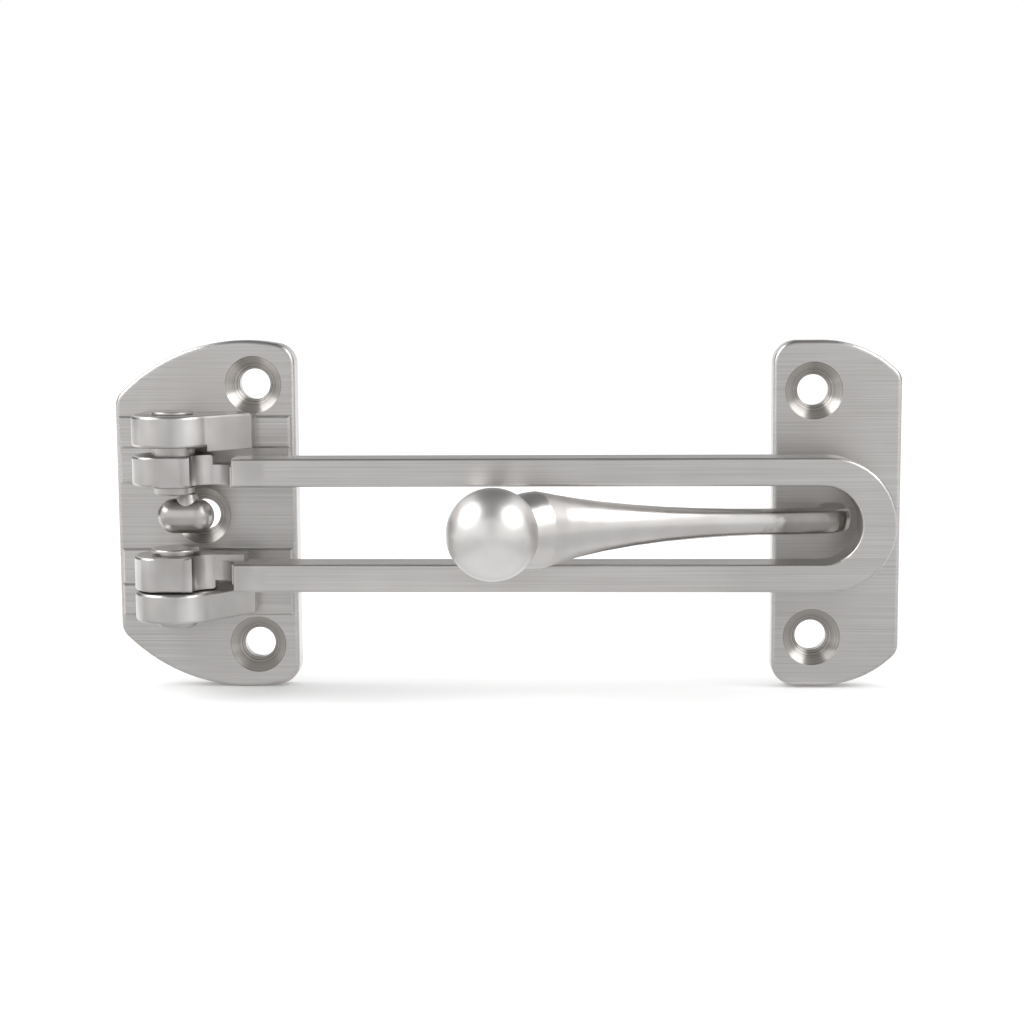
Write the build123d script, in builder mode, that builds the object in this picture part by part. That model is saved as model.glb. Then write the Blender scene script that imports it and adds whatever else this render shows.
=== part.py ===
from build123d import *
import os

# Swing-bar door guard, in millimetres
# The frame: +X runs along the bar, +Z is up, -Y points out of the wall at the viewer.
# The origin is on the wall face, at the axis of the jamb plate's middle screw hole.
# A depth is measured out from the front face of the plates, towards the viewer.

# Both plates
plate_thickness = 4.0
plate_edge_round = 0.7
screw_hole_diameter = 5.0
countersink_diameter = 9.2
countersink_angle = 90

# Jamb plate: a disc cut off straight at both sides
jamb_left = -13.9
jamb_right = 15.3
jamb_disc_radius = 28.25
jamb_disc_x = 7.0
jamb_left_corner = 3.0
jamb_right_corner = 3.4
jamb_screw_x = 8.6
jamb_screw_spacing = 42.4

# Hinge pins and the knuckles round them
pin_x = -2.75
pin_depth = 8.6
pin_diameter = 4.0
pin_fixed_gap = 0.02
pin_running_gap = 0.06
knuckle_radius = 6.45
knuckle_edge_round = 0.5
eye_edge_round = 0.4
eye_flat_round = 4.0
upper_eye_outer_z = 10.7
lower_eye_outer_z = 10.5
lower_eye_thickness = 5.4
upper_ear_thickness = 4.9
lower_ear_thickness = 4.6
upper_ear_gap = 1.4
lower_ear_gap = 0.3

# Raised pads that the ears grow out of
pad_inner_z = 5.3
pad_outer_z = 16.25
ear_pad_inner_z = 11.0
eye_pad_height = 0.8
ear_pad_height = 1.2
pad_edge_slope = 0.35
ear_web_end_x = 9.0
ear_web_end_depth = 4.4
ear_web_end_round = 0.6
ear_web_start_angle = 30
ear_web_round = 4.0
upper_web_drop = 0.7

# Rivet heads, rivet washers and the spacer in the upper gap
rivet_head_radius = 3.25
upper_head_height = 0.4
lower_head_height = 1.3
rivet_head_gap = 0.1
rivet_head_rim = 0.2
upper_tail_radius = 3.2
upper_tail_height = 1.1
lower_tail_radius = 3.8
lower_tail_height = 0.5
rivet_tail_round = 0.35
rivet_washer_radius = 2.8
rivet_washer_thickness = 0.5
spacer_radius = 3.4
spacer_play = 0.2

# Stop knob under the upper eye
knob_radius = 2.75
knob_length = 8.95
knob_offset_x = 1.75
knob_z = 0.95
knob_neck_top_radius = 1.5
knob_neck_bottom_radius = 2.7
knob_neck_offset_x = 2.1

# Swing bar: two legs and a loop, with a flat neck to each eye
bar_depth = 7.3
bar_thickness = 7.0
bar_width = 20.8
leg_height = 4.35
bar_start_x = 7.3
loop_width = 5.3
loop_clearance = 0.6
bar_edge_round = 0.4
neck_height = 3.1
neck_back_depth = 5.9
neck_overlap = 1.0
neck_root_round = 2.4
groove_x = 3.95
groove_depth = 12.9
groove_radius = 3.3

# Strike plate on the door, set out from the foot of its arm
strike_left_reach = 9.5
strike_right_reach = 10.9
strike_half_height = 27.85
strike_crown_reach = 1.5
strike_crown_radius = 16.6
strike_left_corner = 3.8
strike_right_corner = 2.6
strike_screw_reach = 3.05
strike_screw_spacing = 39.8

# Arm that carries the ball through the bar's slot
ball_diameter = 14.0
ball_x = 48.3
ball_depth = 24.7
ball_seat_gap = 0.02
arm_foot_x = 101.5
arm_foot_straight = 5.2
arm_bend_radius = 2.6
arm_run_slope = 9
arm_tip_slope = 41
arm_root_height = 4.1
arm_root_thickness = 4.8
arm_root_roundness = 0.35
flare_clearance = 0.1
flare_thickness = 11.4
flare_lip_round = 0.9
flare_lip_share = 0.91
flare_rim_depth = 3.9
tenon_diameter = 3.4
tenon_gap = 0.02
tenon_head_diameter = 4.6
tenon_head_depth = 1.0
stud_diameter = 4.0
stud_length = 4.0
stud_gap = 0.05
stud_end_gap = 0.3

# Places of the arm's sections as shares of its run, and how fast each of their sizes grows along it
arm_shares = (0, 0.04, 0.1, 0.2, 0.3, 0.4, 0.5, 0.6, 0.7, 0.78, 0.85, flare_lip_share)
height_power = 2.9
thickness_power = 3.6
flare_roundness = 0.97
roundness_power = 2.5
lip_growth = 0.95

# Sizes that follow from the ones above
strike_left = arm_foot_x - strike_left_reach
strike_right = arm_foot_x + strike_right_reach
strike_crown_x = arm_foot_x - strike_crown_reach
strike_screw_x = arm_foot_x - strike_screw_reach
bar_end_x = arm_foot_x + arm_root_thickness / 2 + loop_clearance + loop_width
slot_half_height = bar_width / 2 - leg_height
flare_height = 2 * (slot_half_height - flare_clearance)
upper_eye_inner_z = slot_half_height
lower_eye_inner_z = lower_eye_outer_z - lower_eye_thickness
upper_ear_inner_z = upper_eye_outer_z + upper_ear_gap
lower_ear_inner_z = lower_eye_outer_z + lower_ear_gap
upper_ear_outer_z = upper_ear_inner_z + upper_ear_thickness
lower_ear_outer_z = lower_ear_inner_z + lower_ear_thickness
pin_radius = pin_diameter / 2
bar_front_depth = bar_depth + bar_thickness


def out(depth):
    """The Y of a point that stands depth in front of the plates."""
    return -(plate_thickness + depth)


pin_y = out(pin_depth)
wall_face = Plane.XZ
plate_front = Plane.XZ.offset(plate_thickness)


def screw_hole():
    """A countersunk hole, cut from the front face at each location."""
    CounterSinkHole(
        radius=screw_hole_diameter / 2,
        counter_sink_radius=countersink_diameter / 2,
        depth=plate_thickness,
        counter_sink_angle=countersink_angle,
    )


def level(z):
    """A horizontal sketch plane at height z."""
    return Plane.XY.offset(z)


def draw_jamb_outline(outline):
    """The disc with both sides cut off, drawn in an open sketch."""
    with Locations((jamb_disc_x, 0)):
        Circle(jamb_disc_radius)
    with Locations(((jamb_left + jamb_right) / 2, 0)):
        Rectangle(jamb_right - jamb_left, 2 * jamb_disc_radius, mode=Mode.INTERSECT)
    fillet(outline.vertices().group_by(Axis.X)[0], jamb_left_corner)
    fillet(outline.vertices().group_by(Axis.X)[-1], jamb_right_corner)


def make_ear(low_z, thickness, web_drop):
    """A round knuckle from low_z upwards, on a web that sweeps down to the plate and starts web_drop lower."""
    axis = Vector(pin_x, pin_y)
    start = axis + Vector(knuckle_radius, 0).rotate(Axis.Z, -ear_web_start_angle)
    end = Vector(ear_web_end_x, out(ear_web_end_depth))
    root_y = -plate_thickness / 2
    left_x = pin_x - knuckle_radius
    with BuildPart() as ear:
        with BuildSketch(level(low_z)) as profile:
            with Locations(axis):
                Circle(knuckle_radius)
            with BuildLine():
                Polyline(
                    axis, start, end, (end.X, root_y), (left_x, root_y), (left_x, pin_y), axis
                )
            make_face()
            fillet(profile.vertices().sort_by_distance(start)[0], ear_web_round)
            fillet(profile.vertices().sort_by_distance(end)[0], ear_web_end_round)
        extrude(amount=thickness)
        # All edges of the two flat sides but the one sunk in the plate
        rims = ear.faces().filter_by(Axis.Z).edges()
        sunk = rims.group_by(lambda e: e.center().Y)[-1]
        fillet([e for e in rims if e not in sunk], knuckle_edge_round)
        if web_drop:
            web_left = pin_x + knuckle_radius - knuckle_edge_round
            with BuildSketch(level(low_z - web_drop)):
                add(profile.sketch_local)
                with Locations(((web_left + end.X) / 2, root_y - bar_front_depth / 2)):
                    Rectangle(end.X - web_left, bar_front_depth, mode=Mode.INTERSECT)
            extrude(amount=web_drop + thickness / 2)
    return ear.part


# Jamb plate, cast with its two ears
upper_ear = make_ear(upper_ear_inner_z, upper_ear_thickness, upper_web_drop)
lower_ear = make_ear(-lower_ear_outer_z, lower_ear_thickness, 0)


def make_pad(low_z, high_z, height):
    """A raised field across the jamb plate, which stops where the plate's rounded edge begins."""
    with BuildPart() as pad:
        with BuildSketch(plate_front) as outline:
            draw_jamb_outline(outline)
            offset(amount=-plate_edge_round)
            with Locations(((jamb_left + jamb_right) / 2, (low_z + high_z) / 2)):
                Rectangle(jamb_right - jamb_left, high_z - low_z, mode=Mode.INTERSECT)
        extrude(amount=height)
        chamfer(pad.faces().sort_by(Axis.Y)[0].edges(), pad_edge_slope)
    return pad.part


with BuildPart() as jamb_plate:
    with BuildSketch(wall_face) as outline:
        draw_jamb_outline(outline)
    extrude(amount=plate_thickness)
    fillet(jamb_plate.faces().sort_by(Axis.Y)[0].edges(), plate_edge_round)

    for low, high, height in (
        (pad_inner_z, pad_outer_z, eye_pad_height),
        (ear_pad_inner_z, pad_outer_z, ear_pad_height),
    ):
        add(make_pad(low, high, height))
        add(make_pad(-high, -low, height))
    add(upper_ear)
    add(lower_ear)

    # Pin bores through both ears
    with BuildSketch(level(-lower_ear_outer_z)):
        with Locations((pin_x, pin_y)):
            Circle(pin_radius + pin_running_gap)
    extrude(amount=lower_ear_outer_z + upper_ear_outer_z, mode=Mode.SUBTRACT)

    screw_z = jamb_screw_spacing / 2
    with Locations(plate_front):
        with Locations((0, 0), (jamb_screw_x, screw_z), (jamb_screw_x, -screw_z)):
            screw_hole()

def make_eye(low_z, high_z):
    """A round eye whose front is ground flush with the front of the bar."""
    with BuildPart() as eye:
        with BuildSketch(level(low_z)) as profile:
            with Locations((pin_x, pin_y)):
                Circle(knuckle_radius)
            with Locations((pin_x, out(bar_front_depth) - knuckle_radius)):
                Rectangle(2 * knuckle_radius, 2 * knuckle_radius, mode=Mode.SUBTRACT)
            fillet(profile.vertices(), eye_flat_round)
        extrude(amount=high_z - low_z)
        fillet(eye.faces().filter_by(Axis.Z).edges(), eye_edge_round)
    return eye.part


# Swing bar: a hairpin loop with an eye at the end of each leg
upper_eye = make_eye(upper_eye_inner_z, upper_eye_outer_z)
lower_eye = make_eye(-lower_eye_outer_z, -lower_eye_inner_z)

with BuildPart() as swing_bar:
    loop_radius = bar_width / 2
    loop_x = bar_end_x - loop_radius
    slot_end_x = bar_end_x - loop_width - slot_half_height
    with BuildSketch(plate_front.offset(bar_depth)):
        with Locations(((bar_start_x + loop_x) / 2, 0)):
            Rectangle(loop_x - bar_start_x, bar_width)
        with Locations((loop_x, 0)):
            Circle(loop_radius)
        with Locations(((bar_start_x + slot_end_x) / 2, 0)):
            Rectangle(slot_end_x - bar_start_x, 2 * slot_half_height, mode=Mode.SUBTRACT)
        with Locations((slot_end_x, 0)):
            Circle(slot_half_height, mode=Mode.SUBTRACT)
    extrude(amount=bar_thickness)
    fillet(swing_bar.faces().filter_by(Axis.Y).edges(), bar_edge_round)

    neck_right = bar_start_x + neck_overlap
    for eye, inner_z, outer_z, side in (
        (upper_eye, upper_eye_inner_z, upper_eye_outer_z, 1),
        (lower_eye, lower_eye_inner_z, lower_eye_outer_z, -1),
    ):
        # Flat neck from the eye into the leg
        neck_outside_z = slot_half_height + neck_height
        neck_front_depth = groove_depth - groove_radius
        with BuildSketch(level(min(side * inner_z, side * neck_outside_z))) as neck:
            with Locations((pin_x, pin_y)):
                Circle(knuckle_radius - eye_edge_round)
            with Locations(((pin_x + neck_right) / 2, out((neck_back_depth + neck_front_depth) / 2))):
                Rectangle(neck_right - pin_x, neck_front_depth - neck_back_depth)
            root = Vector(pin_x + knuckle_radius, out(neck_back_depth))
            fillet(neck.vertices().sort_by_distance(root)[0], neck_root_round)
            with Locations((pin_x, out(bar_front_depth) - knuckle_radius)):
                Rectangle(2 * knuckle_radius, 2 * knuckle_radius, mode=Mode.SUBTRACT)
        extrude(amount=neck_outside_z - inner_z)
        # Its thicker end, which stays behind the rounded edge of the leg
        end_front_depth = bar_front_depth - bar_edge_round
        with BuildSketch(level(min(side * slot_half_height, side * neck_outside_z))):
            with Locations(((groove_x + neck_right) / 2, out((bar_depth + end_front_depth) / 2))):
                Rectangle(neck_right - groove_x, end_front_depth - bar_depth)
        extrude(amount=neck_height)
        add(eye)
        # Round groove in the front, between the eye and the leg
        with BuildSketch(level(min(side * inner_z, side * outer_z))):
            with Locations((groove_x, out(groove_depth))):
                Circle(groove_radius)
        extrude(amount=outer_z - inner_z, mode=Mode.SUBTRACT)

    # Pin bores through both eyes
    with BuildSketch(level(-lower_eye_outer_z)):
        with Locations((pin_x, pin_y)):
            Circle(pin_radius + pin_fixed_gap)
    extrude(amount=lower_eye_outer_z + upper_eye_outer_z, mode=Mode.SUBTRACT)


def make_pin(ear_outer_z, head_height, eye_inner_z, tail_radius, tail_height):
    """A rivet: a domed head over the ear, and a tail peened under the eye."""
    head_z = ear_outer_z + rivet_head_gap
    tail_z = eye_inner_z - rivet_washer_thickness
    with BuildPart() as pin:
        for low_z, height, radius in (
            (tail_z, head_z - tail_z, pin_radius),
            (head_z, head_height, rivet_head_radius),
            (tail_z - tail_height, tail_height, tail_radius),
        ):
            with BuildSketch(level(low_z)):
                with Locations((pin_x, pin_y)):
                    Circle(radius)
            extrude(amount=height)
        fillet(pin.edges().group_by(Axis.Z)[-1], head_height - rivet_head_rim)
        fillet(pin.edges().group_by(Axis.Z)[0], rivet_tail_round)
    return pin.part


def make_ring(low_z, height, radius):
    """A flat washer round a pin."""
    with BuildPart() as ring:
        with BuildSketch(level(low_z)):
            with Locations((pin_x, pin_y)):
                Circle(radius)
                Circle(pin_radius + pin_fixed_gap, mode=Mode.SUBTRACT)
        extrude(amount=height)
    return ring.part


# Two hinge rivets, which turn with the bar, and the washers that their tails are peened over
upper_washer_z = upper_eye_inner_z - rivet_washer_thickness
upper_pin = make_pin(
    upper_ear_outer_z, upper_head_height, upper_eye_inner_z, upper_tail_radius, upper_tail_height
)
lower_pin = make_pin(
    lower_ear_outer_z, lower_head_height, lower_eye_inner_z, lower_tail_radius, lower_tail_height
).mirror(Plane.XY)
upper_rivet_washer = make_ring(upper_washer_z, rivet_washer_thickness, rivet_washer_radius)
lower_rivet_washer = make_ring(-lower_eye_inner_z, rivet_washer_thickness, rivet_washer_radius)
upper_spacer = make_ring(upper_eye_outer_z, upper_ear_gap - spacer_play, spacer_radius)

# Stop knob: a round-ended cross bar on a short neck under the upper rivet
rivet_tail_z = upper_washer_z - upper_tail_height
with BuildPart() as stop_knob:
    knob_x = pin_x + knob_offset_x
    knob_straight = knob_length - 2 * knob_radius
    with BuildSketch(Plane((knob_x, pin_y, knob_z), x_dir=(1, 0, 0), z_dir=(0, -1, 0))):
        with BuildLine():
            half = knob_straight / 2
            Line((-half - knob_radius, 0), (half + knob_radius, 0))
            RadiusArc((half + knob_radius, 0), (half, knob_radius), -knob_radius)
            Line((half, knob_radius), (-half, knob_radius))
            RadiusArc((-half, knob_radius), (-half - knob_radius, 0), -knob_radius)
        make_face()
    revolve(axis=Axis((knob_x, pin_y, knob_z), (1, 0, 0)))
    neck_x = pin_x + knob_neck_offset_x
    with BuildSketch(level(rivet_tail_z)):
        with Locations((neck_x, pin_y)):
            Circle(knob_neck_top_radius)
    with BuildSketch(level(knob_z)):
        with Locations((neck_x, pin_y)):
            Circle(knob_neck_bottom_radius)
    loft()

# Strike plate
with BuildPart() as strike_plate:
    crown_z = strike_half_height - strike_crown_radius
    with BuildSketch(wall_face) as outline:
        with Locations(((strike_left + strike_right) / 2, 0)):
            Rectangle(strike_right - strike_left, 2 * strike_half_height)
        # Each end falls away to the right of the crown in one arc
        for side in (1, -1):
            with BuildSketch(mode=Mode.SUBTRACT):
                with Locations((strike_crown_x + strike_crown_radius, side * (crown_z + strike_crown_radius))):
                    Rectangle(2 * strike_crown_radius, 2 * strike_crown_radius)
                with Locations((strike_crown_x, side * crown_z)):
                    Circle(strike_crown_radius, mode=Mode.SUBTRACT)
        fillet(outline.vertices().group_by(Axis.X)[0], strike_left_corner)
        fillet(outline.vertices().group_by(Axis.X)[-1], strike_right_corner)
    extrude(amount=plate_thickness)
    fillet(strike_plate.faces().sort_by(Axis.Y)[0].edges(), plate_edge_round)
    screw_z = strike_screw_spacing / 2
    with Locations(plate_front):
        with Locations((strike_screw_x, screw_z), (strike_screw_x, -screw_z)):
            screw_hole()
    # Seat of the arm's tenon, countersunk at the back
    with BuildSketch(Plane((arm_foot_x, 0, 0), x_dir=(1, 0, 0), z_dir=(0, -1, 0))):
        Circle(tenon_diameter / 2 + tenon_gap)
    extrude(amount=plate_thickness, mode=Mode.SUBTRACT)
    with Locations(Location((arm_foot_x, -tenon_head_depth / 2, 0), (90, 0, 0))):
        Cone(
            tenon_head_diameter / 2 + tenon_gap,
            tenon_diameter / 2 + tenon_gap,
            tenon_head_depth,
            mode=Mode.SUBTRACT,
        )

# Arm: it stands up from the plate, bends over and swells towards the ball
ball_centre = Vector(ball_x, out(ball_depth))
ball_radius = ball_diameter / 2
tip_direction = Vector(-1, 0).rotate(Axis.Z, arm_tip_slope)
rim_centre = ball_centre - tip_direction * flare_rim_depth
with BuildLine() as arm_spine:
    foot = Line((arm_foot_x, out(0)), (arm_foot_x, out(arm_foot_straight)))
    bend = JernArc(foot @ 1, foot % 1, arm_bend_radius, -(90 - arm_run_slope))
    run = Spline(bend @ 1, rim_centre, tangents=(bend % 1, tip_direction))


def arm_section(line, share, taller, thicker, roundness):
    """A rounded rectangle square to the spine, grown by its shares from the root's size to the flare's."""
    height = arm_root_height + (flare_height - arm_root_height) * taller
    thickness = arm_root_thickness + (flare_thickness - arm_root_thickness) * thicker
    across = Plane(line @ share, x_dir=(0, 0, 1), z_dir=line % share)
    return across * RectangleRounded(height, thickness, min(height, thickness) / 2 * roundness)


root_sections = [
    arm_section(line, share, 0, 0, arm_root_roundness)
    for line, share in ((foot, 0), (foot, 0.6), (foot, 1), (bend, 1 / 2))
]
run_sections = []
for share in arm_shares:
    along = share / flare_lip_share
    rounder = 1 - (1 - along) ** roundness_power
    roundness = arm_root_roundness + (flare_roundness - arm_root_roundness) * rounder
    run_sections.append(
        arm_section(run, share, along**height_power, along**thickness_power, roundness)
    )
post = loft(root_sections[:2], ruled=True)
trumpet = loft(root_sections[1:] + run_sections)
rim_section = arm_section(run, 1, lip_growth, lip_growth, flare_roundness)
lip = loft([run_sections[-1], rim_section], ruled=True)

with BuildPart() as strike_arm:
    add(post + trumpet + lip)
    rim = strike_arm.faces().sort_by_distance(ball_centre)[0]
    fillet(rim.edges(), flare_lip_round)
    # Cup that the ball sits in
    with Locations(ball_centre):
        Sphere(ball_radius + ball_seat_gap, mode=Mode.SUBTRACT)
    # Stud into the ball
    with BuildSketch(Plane(ball_centre - tip_direction * (ball_radius + 1), z_dir=tip_direction)):
        Circle(stud_diameter / 2)
    extrude(amount=1 + stud_length)
    # Riveted end: a tenon through the plate, its countersunk head flush with the back
    with BuildSketch(Plane(wall_face.origin + Vector(arm_foot_x, 0, 0), z_dir=(0, -1, 0))):
        Circle(tenon_diameter / 2)
    extrude(amount=plate_thickness + arm_foot_straight / 2)
    head_radius = tenon_head_diameter / 2
    with Locations(Location((arm_foot_x, -tenon_head_depth / 2, 0), (90, 0, 0))):
        Cone(head_radius, tenon_diameter / 2, tenon_head_depth)

# Ball with a blind bore for the stud
with BuildPart() as strike_ball:
    with Locations(ball_centre):
        Sphere(ball_radius)
    with BuildSketch(Plane(ball_centre - tip_direction * ball_radius * 2, z_dir=tip_direction)):
        Circle(stud_diameter / 2 + stud_gap)
    extrude(amount=ball_radius + stud_length + stud_end_gap, mode=Mode.SUBTRACT)

nodes = {
    "jamb_plate": jamb_plate.part,
    "swing_bar": swing_bar.part,
    "upper_pin": upper_pin,
    "lower_pin": lower_pin,
    "upper_spacer": upper_spacer,
    "upper_rivet_washer": upper_rivet_washer,
    "lower_rivet_washer": lower_rivet_washer,
    "stop_knob": stop_knob.part,
    "strike_plate": strike_plate.part,
    "strike_arm": strike_arm.part,
    "strike_ball": strike_ball.part,
}

os.makedirs("parts", exist_ok=True)
for name, piece in nodes.items():
    piece.label = name
    export_step(piece, f"parts/{name}.step")
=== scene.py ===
# %% [markdown]
# # A swing-bar door guard in satin nickel
# The guard has two halves. The left plate is screwed to the door frame and carries a U-shaped bar on a hinge.
# The right plate is screwed to the door and carries an arm with a ball, which the bar's slot hooks over.
# Its solids come from a CAD model in millimetres, so this lesson starts from them and gives them their finish:
# cast metal that was brushed, turned or tumbled, and then nickel plated. Only the arm is drawn again.

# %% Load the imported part
import math

import bmesh
import bpy
from mathutils import Matrix, Vector


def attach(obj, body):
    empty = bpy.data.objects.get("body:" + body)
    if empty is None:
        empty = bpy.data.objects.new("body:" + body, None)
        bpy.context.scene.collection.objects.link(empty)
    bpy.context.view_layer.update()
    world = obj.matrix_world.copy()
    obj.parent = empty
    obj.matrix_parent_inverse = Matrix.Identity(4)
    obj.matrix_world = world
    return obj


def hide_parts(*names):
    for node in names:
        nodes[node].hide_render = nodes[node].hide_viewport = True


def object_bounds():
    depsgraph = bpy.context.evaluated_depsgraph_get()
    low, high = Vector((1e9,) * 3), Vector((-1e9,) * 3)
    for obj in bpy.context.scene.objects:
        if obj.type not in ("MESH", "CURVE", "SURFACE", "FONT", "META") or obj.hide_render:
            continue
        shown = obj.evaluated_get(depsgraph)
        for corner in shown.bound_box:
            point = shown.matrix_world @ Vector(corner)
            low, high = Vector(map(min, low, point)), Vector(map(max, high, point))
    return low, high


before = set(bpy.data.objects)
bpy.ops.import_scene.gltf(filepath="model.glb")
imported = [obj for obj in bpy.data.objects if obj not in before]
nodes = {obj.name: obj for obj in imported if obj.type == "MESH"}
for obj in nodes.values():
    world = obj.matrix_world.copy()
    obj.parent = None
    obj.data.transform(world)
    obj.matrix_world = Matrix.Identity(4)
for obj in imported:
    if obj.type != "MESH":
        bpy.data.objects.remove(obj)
cad_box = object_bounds()
bpy.ops.object.select_all(action="DESELECT")
print("nodes:", len(nodes), "box in mm:", [[round(v * 1000, 1) for v in corner] for corner in cad_box])

# %% [markdown]
# ## Helpers
# Lengths are thought of in millimetres, as on the drawing, and Blender works in metres.
# A colour is picked as an sRGB hex value, as on a screen, and a shader wants it linear.
# Every material is a small tree of nodes, so one function adds a node with its settings and its links.

# %% Units, colours and nodes
MM = 0.001


def linear(hex_value):
    """An sRGB hex colour as the linear RGBA that a shader works in, by the curve of the sRGB standard."""
    channels = [int(hex_value[i : i + 2], 16) / 255 for i in (1, 3, 5)]
    return [c / 12.92 if c <= 0.04045 else ((c + 0.055) / 1.055) ** 2.4 for c in channels] + [1.0]


def add_node(tree, kind, settings=None, values=None, links=None):
    """Adds a node. settings are its properties, values its input numbers, links the outputs that feed its inputs."""
    node = tree.nodes.new(kind)
    for name, value in (settings or {}).items():
        setattr(node, name, value)
    for socket, value in (values or {}).items():
        node.inputs[socket].default_value = value
    for socket, output in (links or {}).items():
        tree.links.new(output, node.inputs[socket])
    return node


def new_material(name):
    """An empty material and its node tree."""
    material = bpy.data.materials.new(name)
    material.use_nodes = True
    material.node_tree.nodes.clear()
    return material, material.node_tree


def give_material(piece, material):
    """Puts one material on all of a piece."""
    piece.data.materials.clear()
    piece.data.materials.append(material)
    for face in piece.data.polygons:
        face.material_index = 0


print("the screen's mid grey #808080 is", round(linear("#808080")[0], 3), "in linear light")

# %% [markdown]
# ## Patterns
# Real metal is never even: a belt scratches it, chips dimple it and plating leaves soft patches. Each of these is a
# pattern here, a number at every point of the piece. Noise makes it, and it drives colour, roughness or a bump.
# The noise is read in the piece's own coordinates. So it stays on the piece when the bar swings, and no image has to
# be painted and wrapped round the shape.

# %% Numbers that vary over a piece
NOISE_RANGE = (0.25, 0.75)  # nearly all of a noise lies between these
MIX_SOCKETS = {"FLOAT": (2, 3, 0), "RGBA": (6, 7, 2)}  # a Mix node's A, B and result for each kind of value
VECTORS = "ShaderNodeVectorMath"


def math_node(tree, operation, first, second, kind="ShaderNodeMath"):
    """A calculation on two inputs: each an output of another node, a number or, for vectors, three numbers."""
    node = add_node(tree, kind, {"operation": operation})
    for place, value in enumerate((first, second)):
        if isinstance(value, (int, float, tuple)):
            node.inputs[place].default_value = value
        else:
            tree.links.new(value, node.inputs[place])
    return node.outputs[0]


def rescaled(tree, value, start, end, low=0.0, high=1.0):
    """low where the value is at start or before it, high from end on, and in between an even rise."""
    values = {"From Min": start, "From Max": end, "To Min": low, "To Max": high}
    return add_node(tree, "ShaderNodeMapRange", values=values, links={"Value": value}).outputs["Result"]


def beyond(tree, axis, start, end):
    """0 before a place on the piece and 1 after it. axis is X, Y or Z, start and end are in mm."""
    place = add_node(tree, "ShaderNodeTexCoord").outputs["Object"]
    parts = add_node(tree, "ShaderNodeSeparateXYZ", links={"Vector": place}).outputs
    return rescaled(tree, parts[axis], start * MM, end * MM)


def soft_patches(tree, size):
    """Noise without a direction, as plating, handling and chips leave it. size is in mm."""
    place = add_node(tree, "ShaderNodeTexCoord").outputs["Object"]
    values = {"Scale": 1 / (size * MM), "Detail": 2.0}
    return add_node(tree, "ShaderNodeTexNoise", values=values, links={"Vector": place}).outputs["Fac"]


def mixed(tree, kind, factor, first, second):
    """The first input where factor is 0, and the second where it is 1."""
    a, b, result = MIX_SOCKETS[kind]
    node = add_node(tree, "ShaderNodeMix", {"data_type": kind}, links={0: factor, a: first, b: second})
    return node.outputs[result]


print("a noise from", *NOISE_RANGE, "is spread over the whole of what it drives")

# %% [markdown]
# ## What a pattern drives
# Metallic is 1 and the IOR stays at its default, because a metal's colour is its reflection. A pattern tints that
# colour between two close greys, and its bump is far too low to model: a few hundredths of a millimetre.

# %% Colour, bump and metal
TINT_RANGE = (0.3, 0.7)


def tinted(tree, pattern, dark, light):
    """A colour between two hex values, by a pattern."""
    ramp = add_node(tree, "ShaderNodeValToRGB", links={"Fac": pattern})
    for mark, position, hex_value in zip(ramp.color_ramp.elements, TINT_RANGE, (dark, light)):
        mark.position = position
        mark.color = linear(hex_value)
    return ramp.outputs["Color"]


def relief(tree, pattern, strength, depth_mm):
    """The surface's direction, tilted as if the pattern were hills of this depth."""
    values = {"Strength": strength, "Distance": depth_mm * MM}
    return add_node(tree, "ShaderNodeBump", values=values, links={"Height": pattern}).outputs["Normal"]


def metal_shader(tree, color, roughness, normal, smear=0.0, across=None):
    """The metal itself, joined to the material's output. smear draws reflections out along the vector across."""
    shader = add_node(
        tree,
        "ShaderNodeBsdfPrincipled",
        values={"Metallic": 1.0, "Anisotropic": smear},
        links={"Base Color": color, "Roughness": roughness, "Normal": normal},
    )
    if across:
        tree.links.new(across, shader.inputs["Tangent"])
    add_node(tree, "ShaderNodeOutputMaterial", links={"Surface": shader.outputs["BSDF"]})


print("a pattern tints from", TINT_RANGE[0], "to", TINT_RANGE[1])

# %% [markdown]
# ## Turned rings in the countersinks
# Each screw hole was countersunk with a turning cutter after the brushing. So its cone carries fine rings round the
# hole, and they smear reflections outward from the hole's axis, which runs along Y.
# The distance from that axis makes the rings. With the depth in the plate, it also says where the cone is, so there
# is no need to cut the plate into pieces.

# %% Turned rings
SINK_RADIUS_MM = 4.55
CONE = ("Y", -1.7, -1.9)  # starts here: the straight hole behind it and the plate's back aren't turned
RING_MM = 0.2  # drawn coarser than a cutter's real feed marks, so that they show
OUTWARD_LENGTH = 1.0e5  # makes the vector outweigh the one for the brushing
TURNED = ("#a29e9a", "#cfccc9")


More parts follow.
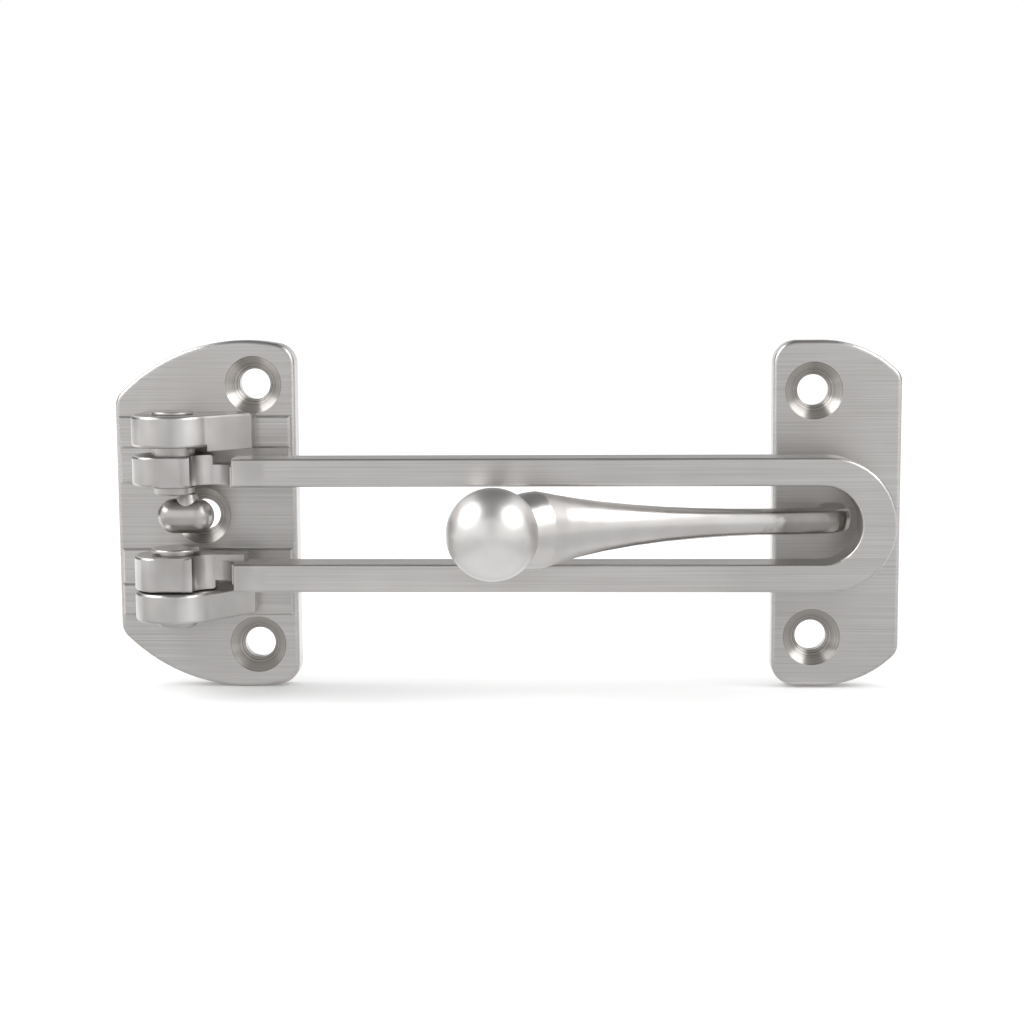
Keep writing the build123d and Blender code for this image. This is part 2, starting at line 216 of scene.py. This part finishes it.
def turned_rings(tree, centres):
    """Where the countersinks are, a ring pattern and a long vector away from the axis. centres are (X, Z) in mm."""
    place = add_node(tree, "ShaderNodeTexCoord").outputs["Object"]
    flat = math_node(tree, "MULTIPLY", place, (1.0, 0.0, 1.0), VECTORS)
    nearest = outward = None
    in_front = beyond(tree, *CONE)
    for x, z in centres:
        offset = math_node(tree, "SUBTRACT", flat, (x * MM, 0.0, z * MM), VECTORS)
        radius = add_node(tree, VECTORS, {"operation": "LENGTH"}, links={0: offset}).outputs["Value"]
        within = math_node(tree, "MULTIPLY", in_front, math_node(tree, "LESS_THAN", radius, SINK_RADIUS_MM * MM))
        reach = math_node(tree, "MULTIPLY", within, OUTWARD_LENGTH)
        strength = add_node(tree, "ShaderNodeCombineXYZ", links={"X": reach, "Z": reach}).outputs["Vector"]
        spoke = math_node(tree, "MULTIPLY", offset, strength, VECTORS)
        outward = spoke if outward is None else math_node(tree, "ADD", outward, spoke, VECTORS)
        nearest = radius if nearest is None else math_node(tree, "MINIMUM", nearest, radius)
    inside = math_node(tree, "MULTIPLY", in_front, math_node(tree, "LESS_THAN", nearest, SINK_RADIUS_MM * MM))
    along = math_node(tree, "DIVIDE", nearest, RING_MM * MM)
    rings = add_node(
        tree, "ShaderNodeTexNoise", {"noise_dimensions": "1D"}, {"Scale": 1.0, "Detail": 2.0}, {"W": along}
    )
    return inside, rings.outputs["Fac"], outward


print("a countersink has room for", round(SINK_RADIUS_MM / RING_MM), "rings from its axis to its edge")

# %% [markdown]
# ## Brushed nickel on the flat faces
# The plates and the bar were drawn over an abrasive belt along X before plating. A belt leaves scratches that are
# long along X and about 0.1 mm wide, so reflections smear across them, up and down.
# Noise stretched along X gives the fine scratches and the wider streaks, and anisotropy in the shader the smear.
# The belt reaches neither the ears on the plate nor the eyes of the bar, which keep the dimpled skin of the tumbling
# before. So a second colour and bump take over beyond a place on the piece.

# %% Brushed nickel
SCRATCH_MM = 0.16  # drawn a little coarser than the real 0.1 mm, so that it shows in the render
STREAK_MM = 0.36
SCRATCH_STRETCH = 160
ACROSS_THE_BRUSHING = (0.0, 0.3, 1.0)  # square to X on the front, top and ends alike
BRUSHED_SMEAR = 0.75
BRUSHED_PATCH_MM = 9.0
BRUSHED_DEPTH_MM = 0.02
TONE_SHARES = (0.55, 0.25, 0.2)  # of scratches, streaks and patches in the colour
TUMBLED = ("#b2afad", "#cfcdcb")
TUMBLED_DIMPLE_MM = 0.9


def grain(tree, across, detail):
    """Noise drawn out along X. across is the width of a scratch in mm."""
    place = add_node(tree, "ShaderNodeTexCoord").outputs["Object"]
    fine = 1 / (across * MM)
    scale = {"Scale": (fine / SCRATCH_STRETCH, fine, fine)}
    mapped = add_node(tree, "ShaderNodeMapping", values=scale, links={"Vector": place}).outputs["Vector"]
    values = {"Scale": 1.0, "Detail": detail, "Roughness": 0.6}
    return add_node(tree, "ShaderNodeTexNoise", values=values, links={"Vector": mapped}).outputs["Fac"]


def brushed_nickel(name, tones, roughness, bump, tumbled_from, sink_centres=()):
    """Nickel brushed along X, tumbled beyond a place, with turned rings inside each countersink."""
    material, tree = new_material(name)
    scratches = grain(tree, SCRATCH_MM, detail=1.0)
    streaks = grain(tree, STREAK_MM, detail=2.0)
    patches = soft_patches(tree, BRUSHED_PATCH_MM)
    patterns = zip((scratches, streaks, patches), TONE_SHARES)
    parts = [math_node(tree, "MULTIPLY", pattern, share) for pattern, share in patterns]
    tone = math_node(tree, "ADD", math_node(tree, "ADD", parts[0], parts[1]), parts[2])
    tumbled = beyond(tree, *tumbled_from)
    color = mixed(tree, "RGBA", tumbled, tinted(tree, tone, *tones), tinted(tree, patches, *TUMBLED))
    height = mixed(tree, "FLOAT", tumbled, scratches, soft_patches(tree, TUMBLED_DIMPLE_MM))
    direction = dict(zip("XYZ", ACROSS_THE_BRUSHING))
    across = add_node(tree, "ShaderNodeCombineXYZ", values=direction).outputs["Vector"]
    if sink_centres:
        inside, rings, outward = turned_rings(tree, sink_centres)
        across = math_node(tree, "ADD", across, outward, VECTORS)
        color = mixed(tree, "RGBA", inside, color, tinted(tree, rings, *TURNED))
        height = mixed(tree, "FLOAT", inside, height, rings)
    shine = rescaled(tree, streaks, *NOISE_RANGE, *roughness)
    metal_shader(tree, color, shine, relief(tree, height, bump, BRUSHED_DEPTH_MM), BRUSHED_SMEAR, across)
    return material


# %% The plates and the bar
EARS = ("Y", -6.0, -6.6)  # they stand out from the plate, where the belt doesn't reach
EYES = ("X", 13.0, 12.0)
NOWHERE = ("Y", -60.0, -61.0)  # past the whole plate, which is brushed all over
JAMB_SINKS = ((0.0, 0.0), (8.6, 21.2), (8.6, -21.2))
STRIKE_SINKS = ((98.45, 19.9), (98.45, -19.9))
PLATE_LOOK = (("#b3b0ae", "#d4d2d0"), (0.3, 0.38), 0.12)  # two tones, two roughnesses and the bump
BAR_LOOK = (("#b9b6b4", "#d3d1cf"), (0.28, 0.36), 0.1)
jamb_finish = brushed_nickel("brushed_nickel_jamb", *PLATE_LOOK, EARS, JAMB_SINKS)
strike_finish = brushed_nickel("brushed_nickel_strike", *PLATE_LOOK, NOWHERE, STRIKE_SINKS)
bar_finish = brushed_nickel("brushed_nickel_bar", *BAR_LOOK, EYES)
for finish in (jamb_finish, strike_finish, bar_finish):
    print(finish.name, "has", len(finish.node_tree.nodes), "nodes")

# %% [markdown]
# ## Tumbled nickel on the cast and turned pieces
# The knob, the rivets and the arm were tumbled with ceramic chips, which leaves a fine, even, satin skin with soft
# dimples. The arm and the ball were brought to a paler shine on a wheel, so they mirror the lights as soft spots.
# Neither chips nor wheel reach the arm's root, which keeps a cast skin. Its darker colour there is also painted
# shade, where the root runs into the dark slot of the strike plate. The edge wanders, because noise is added to the
# distance before the step from one skin to the other.

# %% Tumbled and polished nickel
TUMBLED_PATCH_MM = 5.0
TUMBLED_DEPTH_MM = 0.05
# painted shade: the next tones darken the arm's root for the shade in the strike plate's slot as well as for its
# cast skin, and the bays of that edge belong to both
CAST_SKIN_AND_SHADE = ("#8f8c89", "#a3a09d")
CAST_AND_SHADE_EDGE_MM = 2.0  # how large the bays of the cast skin's edge are
CAST_AND_SHADE_STEP = (0.35, 0.65)
ARM_ROOT = ("X", 88.0, 95.0)


def tumbled_nickel(name, tones, roughness, dimple_mm, bump, cast_and_shade_from=None):
    """Nickel that was tumbled, and darker beyond a place, as a cast skin that the chips and the wheel don't reach
    and as painted shade.
    """
    material, tree = new_material(name)
    dimples = soft_patches(tree, dimple_mm)
    patches = soft_patches(tree, TUMBLED_PATCH_MM)
    color = tinted(tree, patches, *tones)
    if cast_and_shade_from:
        # painted shade: beyond the place the colour turns darker, for the slot's shade and the cast skin, with a
        # wandering edge
        uneven = math_node(tree, "SUBTRACT", beyond(tree, *cast_and_shade_from), 0.5)
        uneven = math_node(tree, "ADD", uneven, soft_patches(tree, CAST_AND_SHADE_EDGE_MM))
        cast_and_shaded = rescaled(tree, uneven, *CAST_AND_SHADE_STEP)
        color = mixed(tree, "RGBA", cast_and_shaded, color, tinted(tree, patches, *CAST_SKIN_AND_SHADE))
    shine = rescaled(tree, patches, *NOISE_RANGE, *roughness)
    metal_shader(tree, color, shine, relief(tree, dimples, bump, TUMBLED_DEPTH_MM))
    return material


cast_finish = tumbled_nickel("tumbled_nickel_small_parts", ("#aeaba9", "#c2bfbd"), (0.26, 0.34), 0.9, 0.04)
# the arm's root gets painted shade together with its cast skin
arm_finish = tumbled_nickel("tumbled_nickel_arm", ("#cbc8c6", "#d3d1cf"), (0.31, 0.35), 1.4, 0.02, ARM_ROOT)
ball_finish = tumbled_nickel("polished_nickel_ball", ("#d6d4d2", "#dedcda"), (0.34, 0.38), 0.6, 0.03)
for finish in (cast_finish, arm_finish, ball_finish):
    print(finish.name, "has", len(finish.node_tree.nodes), "nodes")

# %% [markdown]
# ## The arm, as one smooth skin
# The arm is cast and then ground by hand, so nothing marks where its square root turns into a round trumpet. The
# CAD solid has its sizes, but it is put together from straight and swelling lengths, and metal shows each seam.
# A tube along a curve would be round all the way. So a single face is drawn out along the arm's middle line, and
# sized, turned and rounded at each stop. Subdivision then smooths the skin, and a crease keeps the few edges that
# are sharp.

# %% The arm's stops
FOOT_X = 101.5
ROOT_SIZE = (2.05, 2.4)  # half the height and half the thickness in mm
FLARE_SIZE = (6.03, 5.78)  # a little over the real size, because subdivision draws the skin in
FLARE_SHARE = 0.91  # share of the run where the flare is full
SWELL_POWERS = (2.9, 3.6)  # a higher power keeps the arm slender for longer
ARM_FOOT = (  # X and Y of the middle line in mm, and its slope in degrees
    (FOOT_X, -4.3, 90.0),
    (FOOT_X, -6.6, 90.0),
    (FOOT_X, -8.9, 90.0),
    (101.34, -10.1, 69.75),
    (100.88, -10.89, 49.5),
    (100.17, -11.47, 29.25),
)
ARM_RUN = (  # share of the run, then as above
    (0.0, 99.307, -11.768, 9.0),
    (0.04, 97.299, -12.082, 8.78),
    (0.1, 94.285, -12.542, 8.61),
    (0.2, 89.263, -13.305, 8.76),
    (0.3, 84.246, -14.106, 9.47),
    (0.4, 79.244, -14.995, 10.79),
    (0.5, 74.269, -16.027, 12.8),
    (0.6, 69.344, -17.27, 15.68),
    (0.7, 64.501, -18.802, 19.64),
    (0.78, 60.723, -20.3, 23.79),
    (0.85, 57.527, -21.857, 28.28),
    (0.89, 55.77, -22.87, 31.3),
    (0.915, 54.69, -23.55, 33.3),
)
SQUARE_UNTIL = 0.1  # share of the run where the corners start to round off
RUN_ROUNDING = 0.3
LIP = (53.24, -24.55, 36.3)
LIP_SHARE = 0.98  # of the flare's size
LIP_ROUNDING = 0.5
BALL_CENTRE = (48.3, -28.7)
BALL_RADIUS = 7.0
TIP_SLOPE = 41.0
CUP_ANGLES = (52.0, 34.0, 16.0)  # from the arm's line, seen from the ball's centre


def run_size(share):
    """Half the height and half the thickness of the arm at a share of its run."""
    grown = min(1.0, share / FLARE_SHARE)
    sizes = zip(ROOT_SIZE, FLARE_SIZE, SWELL_POWERS)
    return [root + (flare - root) * grown**power for root, flare, power in sizes]


# A stop is X, Y, slope, half the height, half the thickness, how round it is, and whether its edges stay sharp.
stops = [(*foot, *ROOT_SIZE, 0.0, False) for foot in ARM_FOOT]
for share, *place in ARM_RUN:
    stops.append((*place, *run_size(share), RUN_ROUNDING if share > SQUARE_UNTIL else 0.0, False))
stops.append((*LIP, *(size * LIP_SHARE for size in FLARE_SIZE), LIP_ROUNDING, False))
for degrees in CUP_ANGLES:
    reach = BALL_RADIUS * math.cos(math.radians(degrees))
    radius = BALL_RADIUS * math.sin(math.radians(degrees))
    x = BALL_CENTRE[0] + reach * math.cos(math.radians(TIP_SLOPE))
    y = BALL_CENTRE[1] + reach * math.sin(math.radians(TIP_SLOPE))
    stops.append((x, y, TIP_SLOPE, radius, radius, 1.0, degrees == CUP_ANGLES[0]))
print("stops along the arm:", len(stops))

# %% Drawing a face out


def size_ring(piece, centre, slope, half_height, half_thickness):
    """Scales the selected face about its centre, up and across the arm's line."""
    across = Vector((-math.sin(slope), math.cos(slope), 0.0))
    corners = [v.co - centre for v in bmesh.from_edit_mesh(piece.data).verts if v.select]
    thicker = half_thickness * MM / max(abs(corner.dot(across)) for corner in corners)
    taller = half_height * MM / max(abs(corner.z) for corner in corners)
    bpy.ops.transform.resize(value=(thicker, thicker, taller), center_override=centre)


def draw_out(piece, centre, slope, stops):
    """Extrudes the selected face through the stops, from one centre and slope on."""
    for x, y, degrees, half_height, half_thickness, rounding, sharp in stops:
        place = Vector((x, y, 0.0)) * MM
        turn = math.radians(degrees) - slope
        bpy.ops.mesh.extrude_region_move(TRANSFORM_OT_translate={"value": place - centre})
        if turn:
            bpy.ops.transform.rotate(value=-turn, orient_axis="Z", center_override=place)
        centre, slope = place, math.radians(degrees)
        if rounding:
            size_ring(piece, centre, slope, half_height, half_height)
            bpy.ops.transform.tosphere(value=rounding, center_override=centre)
        size_ring(piece, centre, slope, half_height, half_thickness)
        if sharp:
            bpy.ops.transform.edge_crease(value=1.0)


# %% The arm from its foot to the ball
UPRIGHT = math.radians(90)
PLATE_FACE = -4.0
ROOT_ROUNDING = 0.55
CUTS_PER_SIDE = 5
foot_centre = Vector((FOOT_X, PLATE_FACE, 0.0)) * MM
bpy.ops.mesh.primitive_plane_add(size=2 * ROOT_SIZE[0] * MM, location=foot_centre, rotation=(UPRIGHT, 0, 0))
arm = bpy.context.object
arm.name = "ground_arm"
bpy.ops.object.transform_apply(location=True, rotation=True, scale=True)
bpy.ops.object.mode_set(mode="EDIT")
bpy.ops.mesh.delete(type="ONLY_FACE")
bpy.ops.mesh.select_all(action="SELECT")
bpy.ops.mesh.subdivide(number_cuts=CUTS_PER_SIDE)
bpy.ops.transform.tosphere(value=ROOT_ROUNDING, center_override=foot_centre)
bpy.ops.mesh.edge_face_add()
size_ring(arm, foot_centre, UPRIGHT, *ROOT_SIZE)
bpy.ops.transform.edge_crease(value=1.0)
draw_out(arm, foot_centre, UPRIGHT, stops)
skin = bmesh.from_edit_mesh(arm.data)
print("faces of the rough arm:", len(skin.faces))

# %% The tenon in the plate, and the smooth skin
TENON = ((-4.0, 1.7, 1.0), (-1.0, 1.7, 0.0), (-0.9, 1.75, 0.0), (0.0, 2.35, 0.0))  # Y, radius and rounding
ON_THE_PLATE = 0.01 * MM
SHARPEST_SMOOTH = math.radians(35)
bpy.ops.mesh.select_all(action="DESELECT")
for face in skin.faces:
    if all(abs(corner.co.y - foot_centre.y) < ON_THE_PLATE for corner in face.verts):
        face.select_set(True)
bmesh.update_edit_mesh(arm.data)
tenon = [(FOOT_X, y, 90.0, radius, radius, rounding, True) for y, radius, rounding in TENON]
draw_out(arm, foot_centre, UPRIGHT, tenon)
bpy.ops.mesh.select_all(action="SELECT")
bpy.ops.mesh.normals_make_consistent(inside=False)
bpy.ops.object.mode_set(mode="OBJECT")
smoother = arm.modifiers.new("smooth skin", "SUBSURF")
smoother.levels = smoother.render_levels = 2
bpy.ops.object.modifier_apply(modifier=smoother.name)
bpy.ops.object.shade_smooth_by_angle(angle=SHARPEST_SMOOTH)
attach(arm, "plates")
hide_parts("strike_arm")
give_material(arm, arm_finish)
corners = [vertex.co / MM for vertex in arm.data.vertices]
low, high = ([round(pick(c[i] for c in corners), 2) for i in range(3)] for pick in (min, max))
print("arm:", len(arm.data.polygons), "faces, from", low, "to", high)

# %% [markdown]
# ## Every piece gets its finish
# Each plate has a brushed finish of its own, because the rings of its countersinks are written into it. What isn't
# named here, such as the rivets and the knob, was tumbled.

# %% Finishes
FINISHES = {
    "jamb_plate": jamb_finish,
    "strike_plate": strike_finish,
    "swing_bar": bar_finish,
    "strike_ball": ball_finish,
}
for name, piece in nodes.items():
    give_material(piece, FINISHES.get(name, cast_finish))
    print(name, "is", piece.data.materials[0].name)

# %% [markdown]
# ## Studio
# The guard stands on the lower edges of its plates on a white table, in front of white paper. A lit table alone
# would turn grey away from the lamps, so it has a little light of its own, and more of it farther away.
# The world is full white to the camera and in mirrors, but falls on things a little weaker, so shadows keep shape.

# %% The white table
FLOOR_Z = cad_box[0].z
FLOOR_SIZE = 60.0
LIFT_FROM_TO = (0.15, 0.8)  # distances from the guard in m
PAPER_LIFT = (0.14, 0.32)  # the table's own light at those two distances


def seen_directly(tree):
    """1 for what the camera sees, straight or in metal or glass, and 0 for light that only falls on things."""
    path = add_node(tree, "ShaderNodeLightPath").outputs
    mirrored = math_node(tree, "MAXIMUM", path["Is Glossy Ray"], path["Is Transmission Ray"])
    return math_node(tree, "MAXIMUM", path["Is Camera Ray"], mirrored)


bpy.ops.mesh.primitive_plane_add(size=FLOOR_SIZE, location=(0.05, 0.0, FLOOR_Z))
floor = bpy.context.object
floor.name = "studio_floor"
material, tree = new_material("white_table")
paint = add_node(tree, "ShaderNodeBsdfDiffuse", values={"Color": linear("#f4f4f4")})
place = add_node(tree, "ShaderNodeTexCoord").outputs["Object"]
far = add_node(tree, VECTORS, {"operation": "LENGTH"}, links={0: place}).outputs["Value"]
own_light = math_node(tree, "MULTIPLY", seen_directly(tree), rescaled(tree, far, *LIFT_FROM_TO, *PAPER_LIFT))
lift = add_node(tree, "ShaderNodeEmission", links={"Strength": own_light})
sheet = add_node(tree, "ShaderNodeAddShader", links={0: paint.outputs["BSDF"], 1: lift.outputs["Emission"]})
add_node(tree, "ShaderNodeOutputMaterial", links={"Surface": sheet.outputs["Shader"]})
give_material(floor, material)
print("the table lies at", round(FLOOR_Z / MM, 1), "mm")

# %% The white world
AMBIENT = 0.8  # how much of its white falls on things
world = bpy.data.worlds.new("white_studio")
bpy.context.scene.world = world
world.use_nodes = True
tree = world.node_tree
tree.nodes.clear()
white = math_node(tree, "MULTIPLY", seen_directly(tree), 1.0 - AMBIENT)
strength = math_node(tree, "ADD", white, AMBIENT)
backdrop = add_node(tree, "ShaderNodeBackground", values={"Color": (1, 1, 1, 1)}, links={"Strength": strength})
add_node(tree, "ShaderNodeOutputWorld", links={"Surface": backdrop.outputs["Background"]})
print("the world's light on things:", AMBIENT)

# %% [markdown]
# ## Cards for the reflections
# Metal shows only what is around it, so the studio matters as much as the finish. In plain white every face would
# be white, and the shapes would be lost. So cards that only reflections see stand round the guard: pale ones in
# front of it and on the table for the flat faces and the ball, grey ones overhead, behind and at the sides for the
# edges, a grey strip where the camera stands, and two sheets brighter than white for the arm.

# %% Cards
CARDS = (  # name, place, turn, width, height in m and colour
    ("front_card", (0.06, -0.6, 0.23), (UPRIGHT, 0, 0), 0.24, 0.46, "#eeeeee"),
    ("front_mat", (0.05, -0.401, FLOOR_Z + 0.001), (0, 0, 0), 0.7, 0.798, "#dcdcdc"),
    ("ball_card", (0.05, -0.065, FLOOR_Z + 0.002), (0, 0, 0), 0.07, 0.1, "#f6f6f6"),
    ("top_card", (0.05, 0.13, 0.62), (0, 0, 0), 0.7, 1.54, "#808080"),
    ("camera_card", (0.063, -0.58, 0.25), (UPRIGHT, 0, 0), 0.06, 0.3, "#a4a4a4"),
    ("back_card", (0.05, 0.9, 0.47), (UPRIGHT, 0, 0), 0.9, 0.3, "#848484"),
)
SHEET_STRENGTH = 1.12


def grey_card(name, place, turn, width, height, hex_value, strength=1.0):
    """A card that only reflections see."""
    bpy.ops.mesh.primitive_plane_add(size=1.0, location=place, rotation=turn)
    card = bpy.context.object
    card.name = name
    card.scale = (width, height, 1)
    material, tree = new_material(name)
    glow = add_node(tree, "ShaderNodeEmission", values={"Color": linear(hex_value), "Strength": strength})
    add_node(tree, "ShaderNodeOutputMaterial", links={"Surface": glow.outputs["Emission"]})
    give_material(card, material)
    card.visible_camera = False
    card.visible_diffuse = False
    card.visible_shadow = False
    print("card", card.name, width, "by", height, "m")


for card in CARDS:
    grey_card(*card)
for side in (-1, 1):
    place = (0.05 + 0.6 * side, 0.5, 0.15)
    grey_card("side_card", place, (0, UPRIGHT, 0), 0.36, 0.8, "#6c6c6c")
    place = (0.05 + 0.32 * side, -0.5, 0.22)
    grey_card("white_sheet", place, (UPRIGHT, 0, 0.5 * side), 0.38, 0.42, "#ffffff", SHEET_STRENGTH)

# %% [markdown]
# ## Lamps
# The photograph has two soft highlights side by side on the ball. A bare lamp would leave a small hard spot, so two
# large square lamps, soft boxes, hang high up at the left and the right and face the guard.

# %% Soft boxes
GUARD_CENTRE = Vector((0.05, -0.01, 0.0))
BOX_SIZE = 0.42


def soft_box(name, offset, watts):
    """A square lamp that faces the guard, at an offset from it in m."""
    bpy.ops.object.light_add(type="AREA", location=GUARD_CENTRE + Vector(offset))
    lamp = bpy.context.object
    lamp.name = name
    lamp.data.shape = "SQUARE"
    lamp.data.size = BOX_SIZE
    lamp.data.energy = watts
    lamp.rotation_euler = (GUARD_CENTRE - lamp.location).to_track_quat("-Z", "Y").to_euler()
    print("lamp", name, round(Vector(offset).length, 2), "m away,", watts, "W")


soft_box("left_box", (-0.48, -0.08, 0.44), 2.3)
soft_box("right_box", (0.46, -0.17, 0.44), 1.9)

# %% [markdown]
# ## Camera
# The photograph was taken from 318 mm with a lens of about 69 mm, 2.4 degrees to the right of straight on and
# 6.7 degrees above. These came from the plates' known sizes and from how their edges draw together.

# %% Camera
AIM = Vector((50.2, -4.0, 0.5)) * MM
DISTANCE = 318.0 * MM
LIFT = math.radians(6.67)
SIDE = math.radians(2.4)
ROLL = math.radians(0.35)
LENS_PX = 1972.0
FRAME_PX = 1024.0
SENSOR_MM = 36.0
NEAREST_SEEN = 10.0 * MM

away = Vector((math.sin(SIDE) * math.cos(LIFT), -math.cos(SIDE) * math.cos(LIFT), math.sin(LIFT)))
bpy.ops.object.camera_add(location=AIM + DISTANCE * away)
camera = bpy.context.object
camera.name = "camera"
level_view = (-away).to_track_quat("-Z", "Y").to_matrix()
camera.rotation_euler = (level_view @ Matrix.Rotation(-ROLL, 3, "Z")).to_euler()
camera.data.sensor_width = SENSOR_MM
camera.data.lens = LENS_PX / FRAME_PX * SENSOR_MM
camera.data.clip_start = NEAREST_SEEN
bpy.context.scene.camera = camera
bpy.context.scene.view_settings.view_transform = "Standard"
print("lens:", round(camera.data.lens, 1), "mm, camera at", [round(v / MM) for v in camera.location])
